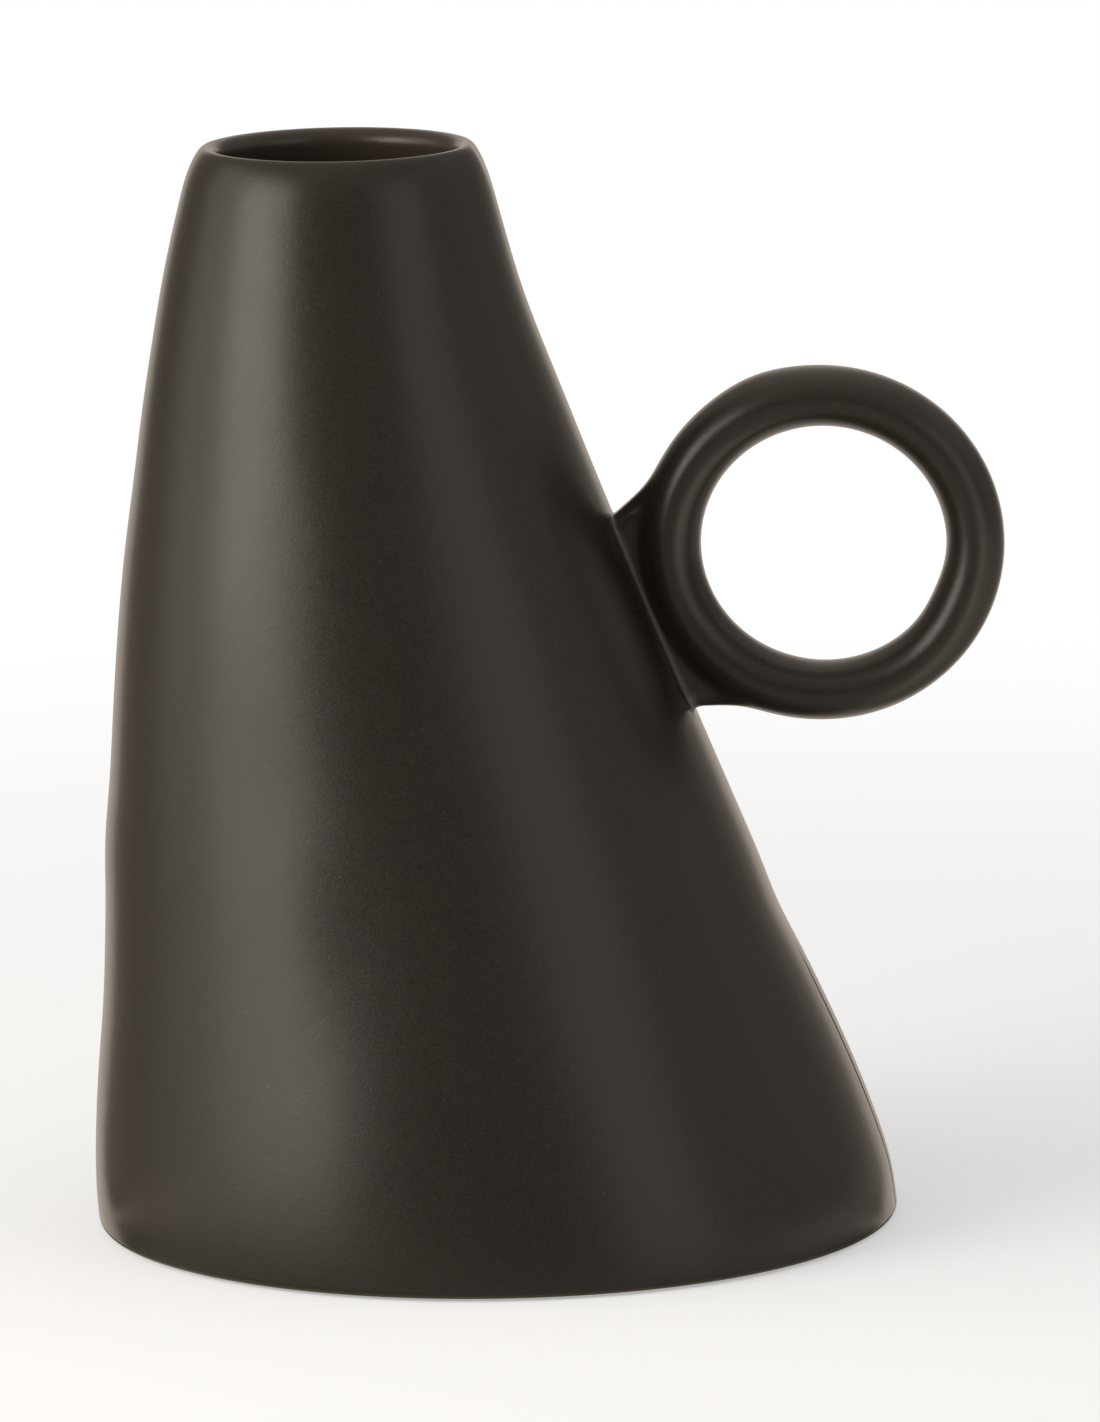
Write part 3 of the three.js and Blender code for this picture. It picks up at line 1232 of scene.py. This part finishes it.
@dataclass(frozen=True)
class Studio:
    """A pale floor, pale surroundings, five soft lamps and the photograph's camera.

    The vase's gloss sees a white card behind the vase. The rest of what it sees goes by bearing.
    """

    camera_bearing: float = 4.0
    camera_distance: float = 1700 * MM
    camera_height: float = 372.7 * MM
    camera_roll: float = -1.024
    camera_lens: float = 316.73
    target: tuple[float, float, float] = (0.59 * MM, 0.0, 70.95 * MM)
    ambient: float = 0.36
    warmth: Colour = (1.0, 0.88, 0.76)
    mirror_round: Stops = (
        (-180.0, 0.25), (-150.0, 0.25), (-135.0, 0.25), (-112.0, 0.10), (112.0, 0.10),
        (130.0, 0.18), (148.0, 0.30), (180.0, 0.30))
    mirror_floor: Stops = (
        (-180.0, 0.25), (-140.0, 0.24), (-99.0, 0.3), (-74.0, 0.45), (-62.0, 1.1), (-45.0, 1.1),
        (-32.0, 0.5), (4.0, 0.38), (24.0, 0.6), (38.0, 1.6), (50.0, 1.6), (66.0, 1.0),
        (92.0, 0.7), (115.0, 0.4), (180.0, 0.3))
    mirror_above: float = 0.5
    above_start: float = 0.35
    mirror_back: float = 0.78
    card_edge: Span = (0.82, 0.89)
    card_right: float = 0.24
    card_floor: Span = (0.045, 0.035)
    card_reach: Span = (200 * MM, 480 * MM)
    card_top: float = 0.85
    card_steep: float = 0.5
    body_side: float = 55 * MM
    foot_x: float = -7.7 * MM
    foot_shade: Span = (56 * MM, 105 * MM)
    foot_shade_least: float = 0.4
    foot_close: Span = (62 * MM, 110 * MM)
    foot_front: Span = (-10 * MM, -40 * MM)
    foot_contact: Span = (55.8 * MM, 56.05 * MM)
    floor_radius: float = 3.0
    floor_segments: int = 96
    floor_paint: Colour = (0.9, 0.9, 0.9)
    floor_fill: float = 0.38
    floor_fade: Span = (0.16, 0.5)
    softboxes: tuple[Softbox, ...] = (
        Softbox("key_softbox", -54.0, 23.0, 0.9, 0.58, 0.38, 3.25),
        Softbox("low_key_softbox", -59.0, 4.5, 0.9, 0.62, 0.30, 1.35),
        Softbox("left_softbox", -92.0, 16.0, 0.9, 0.46, 0.75, 1.3),
        Softbox("fill_softbox", 54.0, 18.0, 1.1, 0.62, 0.74, 1.17),
        Softbox("side_softbox", 102.0, 24.0, 1.1, 0.9, 0.8, 0.62),
    )

    def build(self) -> None:
        """Sets up floor, surroundings, lamps and camera."""
        bpy.context.scene.view_settings.view_transform = "Standard"
        self.add_floor()
        self.set_world()
        for softbox in self.softboxes:
            softbox.light(Vector(self.target))
        self.add_camera()

    def add_camera(self) -> None:
        """Stands the camera where the photograph was taken from."""
        turn = math.radians(self.camera_bearing)
        spot = Vector((self.foot_x + self.camera_distance * math.sin(turn),
                       -self.camera_distance * math.cos(turn), self.camera_height))
        back = (spot - Vector(self.target)).normalized()
        right = Vector((0, 0, 1)).cross(back).normalized()
        level = Matrix((right, back.cross(right), back)).transposed().to_4x4()
        roll = Matrix.Rotation(math.radians(self.camera_roll), 4, "Z")
        lens = bpy.data.cameras.new("photo_camera")
        lens.lens = self.camera_lens
        holder = add_object("photo_camera", lens)
        holder.matrix_world = Matrix.Translation(spot) @ level @ roll
        bpy.context.scene.camera = holder

    def add_floor(self) -> None:
        """Lays the plain pale floor that takes the vase's shadow."""
        bm = bmesh.new()
        bmesh.ops.create_circle(bm, cap_ends=True, segments=self.floor_segments,
                                radius=self.floor_radius)
        floor = add_object("floor", mesh_from(bm))
        material, wiring = new_material("pale_floor")
        place = wiring.get("ShaderNodeTexCoord", "Object")
        path = wiring.add("ShaderNodeLightPath").outputs
        watched = path["Is Camera Ray"]
        far = wiring.math("MULTIPLY", wiring.fade(wiring.length(place), self.floor_fade), watched)
        paint = wiring.get("ShaderNodeBsdfDiffuse", 0, {"Color": self.floor_paint})
        fill = wiring.glow("ShaderNodeEmission", WHITE,
                           wiring.math("MULTIPLY", watched, self.floor_fill))
        lit = wiring.get("ShaderNodeAddShader", 0, {0: paint, 1: fill})
        base = wiring.mix_shader(far, lit, wiring.glow("ShaderNodeEmission", WHITE, 1.0))
        mirrored = wiring.glow("ShaderNodeEmission", self.warmth, self.floor_gloss(wiring, place))
        surface = wiring.mix_shader(path["Is Glossy Ray"], base, mirrored)
        wiring.add("ShaderNodeOutputMaterial", {"Surface": surface})
        floor.data.materials.append(material)

    def floor_gloss(self, wiring: Wiring, place: NodeSocket) -> NodeSocket:
        """Brightness of the floor in reflections.

        Args:
            wiring: the tree to wire in.
            place: the place on the floor.

        Returns:
            The brightness.
        """
        centred = wiring.vector("ADD", place, (-self.foot_x, 0, 0))
        from_foot = wiring.length(centred)
        x, y, _ = wiring.split(centred)
        side = wiring.math("SIGN", x)
        beyond = wiring.math("SUBTRACT", wiring.math("ABSOLUTE", x), self.body_side)
        beside = wiring.math("MULTIPLY", wiring.math("MAXIMUM", beyond, 0.0), side)
        off_side = wiring.get("ShaderNodeCombineXYZ", 0, {"X": beside, "Y": y})
        shade = wiring.math("MAXIMUM", wiring.fade(y, self.foot_front),
                            wiring.fade(from_foot, self.foot_shade, self.foot_shade_least))
        front = wiring.math("MULTIPLY", self.by_bearing(wiring, beside, y, self.mirror_floor),
                            shade)
        skimming = self.skimming(wiring, centred, from_foot, side)
        close = wiring.fade(from_foot, self.foot_close, 1.0, 0.0)
        away = wiring.scaled(wiring.vector("NORMALIZE", off_side),
                             wiring.math("SUBTRACT", 1.0, close))
        way = wiring.vector("ADD", wiring.scaled(skimming, close), away)
        lift = wiring.fade(from_foot, self.card_reach, *self.card_floor)
        whole = self.seen_in_gloss(wiring, way, front, lift)
        return wiring.math("MULTIPLY_ADD", wiring.fade(from_foot, self.foot_contact),
                           wiring.math("SUBTRACT", whole, front), front)

    def skimming(self, wiring: Wiring, centred: NodeSocket, from_foot: NodeSocket,
                 side: NodeSocket) -> NodeSocket:
        """Direction in which a line that skims the foot's rim reaches a place on the floor.

        Args:
            wiring: the tree to wire in.
            centred: the place, measured from the foot's centre.
            from_foot: how far the place is from there.
            side: -1 left of the vase and 1 right of it.

        Returns:
            The direction, of length one.
        """
        sine = wiring.math("MINIMUM", wiring.math("DIVIDE", self.body_side, from_foot), 1.0)
        cosine = wiring.math("SQRT", wiring.math(
            "SUBTRACT", 1.0, wiring.math("MULTIPLY", sine, sine)))
        outward = wiring.vector("NORMALIZE", centred)
        upright = wiring.get("ShaderNodeCombineXYZ", 0, {"Z": wiring.math("MULTIPLY", side, sine)})
        return wiring.vector("ADD", wiring.vector("CROSS_PRODUCT", upright, outward),
                             wiring.scaled(outward, cosine))

    @staticmethod
    def by_bearing(wiring: Wiring, x: NodeSocket, y: NodeSocket, stops: Stops) -> NodeSocket:
        """Brightness by bearing, from pairs of a bearing from -180 to 180 and a brightness."""
        bearing = wiring.math("ARCTAN2", x, wiring.math("MULTIPLY", y, -1.0))
        return wiring.ramp(wiring.math("MULTIPLY_ADD", bearing, 0.5 / math.pi, 0.5),
                           tuple((turn / 360 + 0.5, level) for turn, level in stops))

    def seen_in_gloss(self, wiring: Wiring, way: NodeSocket, front: NodeSocket,
                      lift: NodeSocket | float) -> NodeSocket:
        """Brightness of the surroundings in reflections: white behind the vase, dim before it.

        Args:
            wiring: the tree to wire in.
            way: the direction looked in, of length one.
            front: the brightness in front of the vase.
            lift: how much further round the white reaches.

        Returns:
            The brightness.
        """
        x, y, z = wiring.split(way)
        behind = wiring.math("MULTIPLY_ADD", wiring.math("MAXIMUM", x, 0.0), -self.card_right, y)
        behind = wiring.math("ADD", behind, lift)
        steep = wiring.math("MAXIMUM", wiring.math("SUBTRACT", z, self.card_steep), 0.0)
        behind = wiring.math("MULTIPLY_ADD", steep, self.card_top, behind)
        return wiring.fade(behind, self.card_edge, front, self.mirror_back)

    def set_world(self) -> None:
        """Makes the surroundings white to the eye, dim to the clay and warm in reflections."""
        world = bpy.data.worlds.new("studio")
        world.use_nodes = True
        bpy.context.scene.world = world
        wiring = Wiring(world.node_tree)
        path = wiring.add("ShaderNodeLightPath").outputs
        way = wiring.get("ShaderNodeTexCoord", "Generated")
        x, y, z = wiring.split(way)
        above = wiring.vary(z, 0.0, self.mirror_above, self.above_start)
        front = wiring.math("ADD", above, self.by_bearing(wiring, x, y, self.mirror_round))
        soft = wiring.glow("ShaderNodeBackground", WHITE, self.ambient)
        mirrored = wiring.glow("ShaderNodeBackground", self.warmth,
                               self.seen_in_gloss(wiring, way, front, 0.0))
        unseen = wiring.mix_shader(path["Is Glossy Ray"], soft, mirrored)
        whole = wiring.mix_shader(path["Is Camera Ray"], unseen,
                                  wiring.glow("ShaderNodeBackground", WHITE, 1.0))
        wiring.add("ShaderNodeOutputWorld", {"Surface": whole})


def main() -> None:
    """Builds the vase and its studio."""
    logging.basicConfig(level=logging.INFO, format="%(message)s")
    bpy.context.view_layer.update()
    effects = SurfaceEffects()
    glaze = SatinGlaze().material(effects)
    clay = BareClay().material(effects)
    form = BodyForm()
    foot = Foot(form)
    finish_piece("glazed_body", GlazedBody(form).build(), glaze, Slot.GLAZE,
                 "body_wall", "mouth_lip")
    finish_piece("ring_and_web", RingHandle(form).build(), glaze, Slot.GLAZE,
                 "ring_handle", "handle_web", "handle_slip_bead")
    finish_piece("floor_slab", foot.floor(), glaze, Slot.GLAZE, "floor_disc")
    finish_piece("corner_fillet", foot.fillet(), glaze, Slot.GLAZE, "corner_coil")
    finish_piece("bare_foot_ring", foot.ring(), clay, Slot.BARE_CLAY, "foot_ring")
    Studio().build()


if __name__ == "__main__":
    main()
